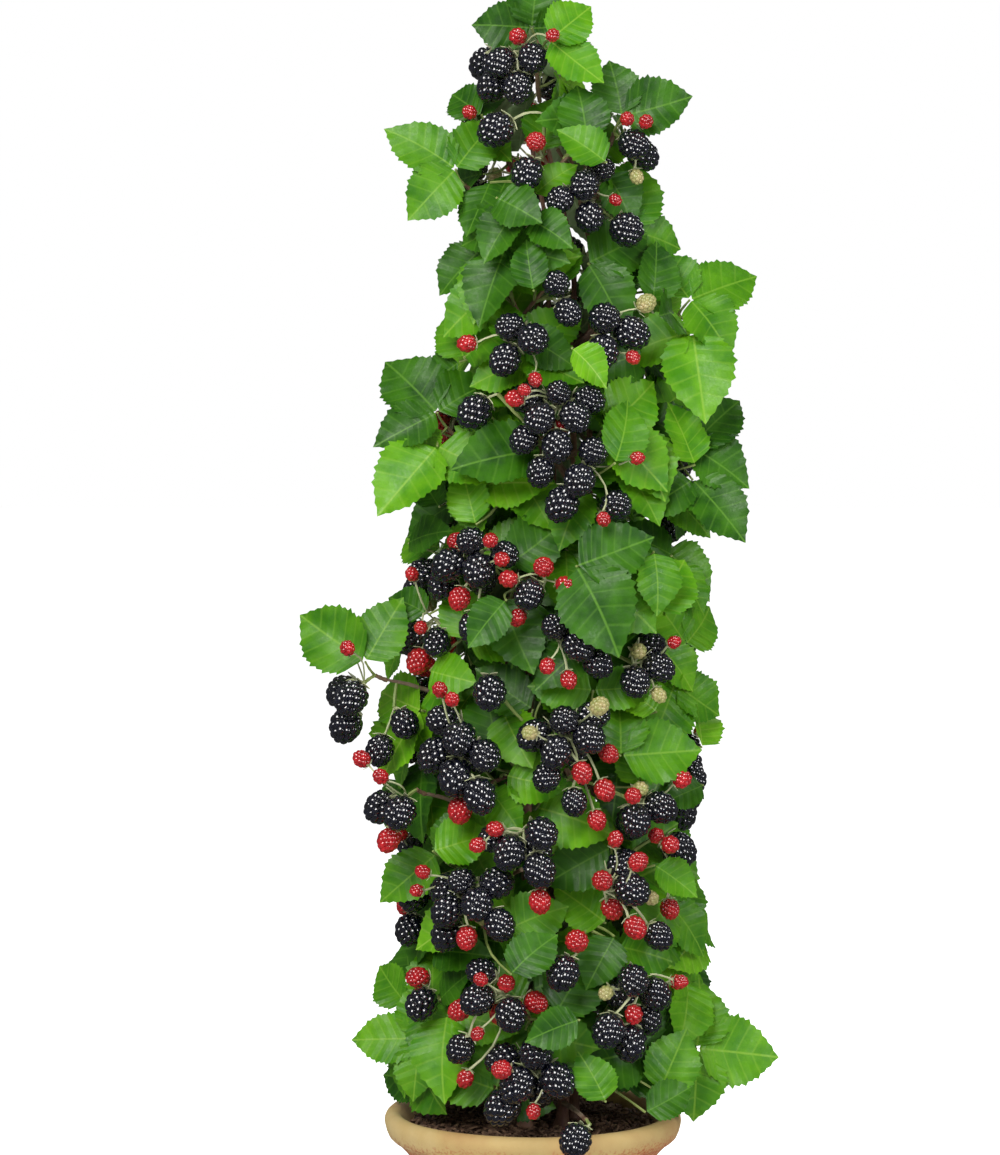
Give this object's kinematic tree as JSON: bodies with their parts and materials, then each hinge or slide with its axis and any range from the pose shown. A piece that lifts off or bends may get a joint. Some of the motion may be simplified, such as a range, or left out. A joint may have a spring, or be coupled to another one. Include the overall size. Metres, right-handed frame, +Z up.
{
  "type": "potted bramble",
  "caption": "Fruiting bramble grown as a tall narrow leafy column in a round flared terracotta pot, hung with ripe dark and unripe red berries.",
  "frame": {"origin": "centre of the pot's flat underside, on the surface that it stands on", "axes": "+Z up along the pot's axis and the column; -Y towards the viewer, so that +X is to the viewer's right"},
  "size_m": [0.3844, 0.3438, 1.1158],
  "materials": {
    "terracotta": "matt fired clay, cream on the lip, orange-brown below",
    "compost": "moist dark brown bark compost",
    "cane_bark": "tan to maroon cane bark",
    "green_shoot": "green-brown young shoots",
    "foliage": "bright green toothed leaves, with glossy near-black and red berries"
  },
  "bodies": {
    "root": {"bough_back_high": "green_shoot", "bough_back_low": "green_shoot", "bough_bottom_left": "green_shoot", "bough_bottom_right": "green_shoot", "bough_low_left": "green_shoot", "bough_lower_left": "green_shoot", "bough_mid_left": "green_shoot", "bough_mid_right": "green_shoot", "bough_rim": "green_shoot", "bough_top_right": "green_shoot", "bough_upper_left": "green_shoot", "bough_upper_right": "green_shoot", "cane_back": "cane_bark", "cane_front_left": "cane_bark", "cane_front_right": "cane_bark", "cane_left": "cane_bark", "cane_right": "cane_bark", "foliage_shoot_back_high": "foliage", "foliage_shoot_back_low": "foliage", "foliage_shoot_bottom_left": "foliage", "foliage_shoot_bottom_right": "foliage", "foliage_shoot_low_left": "foliage", "foliage_shoot_lower_left": "foliage", "foliage_shoot_mid_left": "foliage", "foliage_shoot_mid_right": "foliage", "foliage_shoot_rim": "foliage", "foliage_shoot_top_right": "foliage", "foliage_shoot_upper_left": "foliage", "foliage_shoot_upper_right": "foliage", "foliage_tier1_back_left": "foliage", "foliage_tier1_back_right": "foliage", "foliage_tier1_front": "foliage", "foliage_tier2_back": "foliage", "foliage_tier2_front_left": "foliage", "foliage_tier2_front_right": "foliage", "foliage_tier3_back_left": "foliage", "foliage_tier3_back_right": "foliage", "foliage_tier3_front": "foliage", "foliage_tier4_back": "foliage", "foliage_tier4_front_left": "foliage", "foliage_tier4_front_right": "foliage", "foliage_tier5_back_left": "foliage", "foliage_tier5_back_right": "foliage", "foliage_tier5_front": "foliage", "foliage_tier6_back": "foliage", "foliage_tier6_front_left": "foliage", "foliage_tier6_front_right": "foliage", "foliage_tier7_back_left": "foliage", "foliage_tier7_back_right": "foliage", "foliage_tier7_front": "foliage", "foliage_tip": "foliage", "pot": "terracotta", "soil": "compost"}
  },
  "joints": []
}
